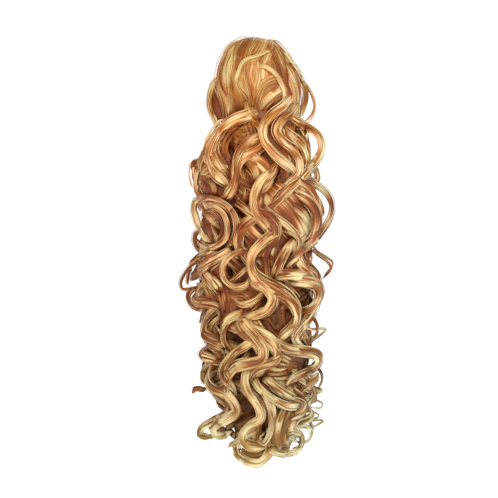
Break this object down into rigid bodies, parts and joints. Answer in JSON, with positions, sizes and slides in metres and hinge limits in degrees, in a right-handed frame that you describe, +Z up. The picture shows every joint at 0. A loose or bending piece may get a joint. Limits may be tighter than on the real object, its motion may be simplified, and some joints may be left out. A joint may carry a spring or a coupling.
{
  "type": "ponytail hairpiece",
  "caption": "Long curled ponytail hairpiece: a net cup with a comb that sits over a bun, smooth crown hair and a hanging fall of spiral curls.",
  "frame": {"origin": "centre of the net cup's mouth, on the plane that lies against the head", "axes": "+Z up along the hanging hair, +Y into the head, -Y the side that the picture shows, +X to the right in the picture"},
  "size_m": [0.165, 0.117, 0.5254],
  "materials": {
    "cap_net": "fine knitted net, matt",
    "comb_plastic": "moulded, smooth",
    "golden_hair": "combed fibre with a soft sheen",
    "curled_hair": "curled fibre with a soft sheen, copper in the middle and pale at the tips"
  },
  "bodies": {
    "root": {"base_cap": "cap_net", "comb": "comb_plastic", "crown_hair": "golden_hair", "hair_fall": "curled_hair"}
  },
  "joints": []
}
